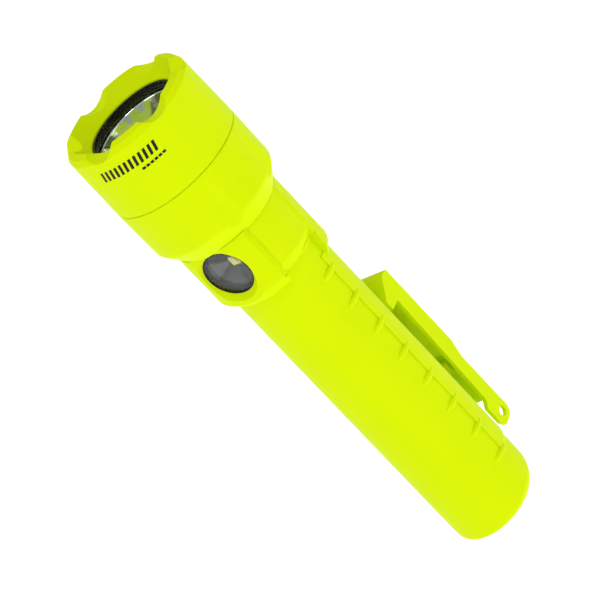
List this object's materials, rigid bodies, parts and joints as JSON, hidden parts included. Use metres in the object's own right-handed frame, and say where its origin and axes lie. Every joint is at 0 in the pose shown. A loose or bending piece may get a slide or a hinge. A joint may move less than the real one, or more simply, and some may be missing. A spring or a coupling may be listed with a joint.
{
  "type": "firefighter flashlight",
  "caption": "Handheld dual-beam safety flashlight: round handle with ribbed grip, side flood lamp, crowned screw-on bezel over the main lamp, magnetic back clip.",
  "frame": {"origin": "centre of the handle's axis on the flat of the tail", "axes": "+Z along the handle from tail to bezel, -Y out of the flood lamp, +Y out of the clip and the push buttons, +X completes the right-handed set"},
  "size_m": [0.052, 0.0559, 0.2063],
  "materials": {
    "hi_vis_polymer": "fluorescent yellow-green moulded polymer, fine satin",
    "black_rubber": "satin",
    "button_rubber": "satin",
    "clear_lens": "clear polished",
    "bright_reflector": "mirror",
    "led_phosphor": "yellow phosphor dome",
    "circuit_board": "green solder mask",
    "aluminium": "turned",
    "black_polymer": "moulded",
    "plated_contact": "plated",
    "cell_can": "printed sleeve over steel can",
    "magnet": "nickel plated",
    "screw_steel": "zinc plated"
  },
  "bodies": {
    "handle": {"body_housing": "hi_vis_polymer", "bezel_oring": "black_rubber", "reflector": "bright_reflector", "main_led": "led_phosphor", "led_board": "circuit_board", "heat_sink": "aluminium", "engine_core": "black_polymer", "driver_board": "circuit_board", "contact_springs": "plated_contact", "carrier_frame": "black_polymer", "carrier_contacts": "plated_contact", "battery_cell_1": "cell_can", "battery_cell_2": "cell_can", "battery_cell_3": "cell_can", "battery_cell_4": "cell_can", "flood_lens": "clear_lens", "flood_gasket": "black_rubber", "flood_reflector": "bright_reflector", "flood_led": "led_phosphor", "flood_board": "circuit_board", "tact_switches": "black_polymer", "switch_board": "circuit_board", "clip": "hi_vis_polymer", "clip_magnet": "magnet", "magnet_cover": "hi_vis_polymer", "clip_screws": "screw_steel", "tail_magnet": "magnet", "tail_retainer": "black_polymer"},
    "lens_pack": {"main_lens": "clear_lens", "lens_gasket": "black_rubber"},
    "bezel": {"bezel_ring": "hi_vis_polymer"},
    "flood_switch": {"flood_button": "button_rubber"},
    "spot_switch": {"spot_button": "button_rubber"}
  },
  "joints": [
    {"name": "bezel_lift", "type": "slide", "parent": "handle", "child": "lens_pack", "axis": [0, 0, 1], "range_m": [0, 0.008]},
    {"name": "bezel_turn", "type": "hinge", "parent": "lens_pack", "child": "bezel", "pos_m": [0, 0, 0.19], "axis": [0, 0, 1], "range_deg": [0, 720]},
    {"name": "flood_press", "type": "slide", "parent": "handle", "child": "flood_switch", "axis": [0, -1, 0], "range_m": [0, 0.001], "stiffness_N_per_m": 1500},
    {"name": "spot_press", "type": "slide", "parent": "handle", "child": "spot_switch", "axis": [0, -1, 0], "range_m": [0, 0.001], "stiffness_N_per_m": 1500}
  ],
  "couplings": [
    {"joint": "bezel_turn", "follows": "bezel_lift", "rad_per_m": 1570.8}
  ]
}
